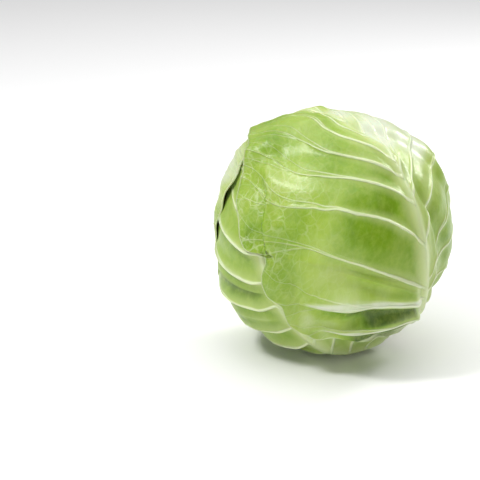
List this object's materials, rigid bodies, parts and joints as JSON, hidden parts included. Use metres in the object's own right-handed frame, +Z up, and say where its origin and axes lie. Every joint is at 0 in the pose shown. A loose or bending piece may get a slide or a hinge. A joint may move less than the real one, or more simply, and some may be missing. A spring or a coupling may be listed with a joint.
{
  "type": "cabbage head",
  "caption": "Round green cabbage head with wrapped, ribbed outer leaves round a dense heart and a short cut stalk, resting on a small flat spot.",
  "frame": {"origin": "middle of the small flat spot that the head rests on, in the plane of the surface it stands on", "axes": "+Z up, -Y towards the front that shows the front leaf, +X to the front's right, where the cut stalk points down and outwards"},
  "size_m": [0.1732, 0.1673, 0.1705],
  "materials": {
    "outer_leaf": "satin, waxy leaf",
    "inner_leaf": "satin, pale inner leaf",
    "heart": "matt, pale leaf",
    "stalk": "matt, cut stalk"
  },
  "bodies": {
    "root": {"heart": "heart", "stalk": "stalk", "leaf_7_inner_back": "inner_leaf", "leaf_6_inner_front": "inner_leaf", "leaf_5_underside": "inner_leaf", "leaf_4_right": "inner_leaf", "leaf_3_left": "outer_leaf", "leaf_2_back": "outer_leaf", "leaf_1_front": "outer_leaf"}
  },
  "joints": []
}
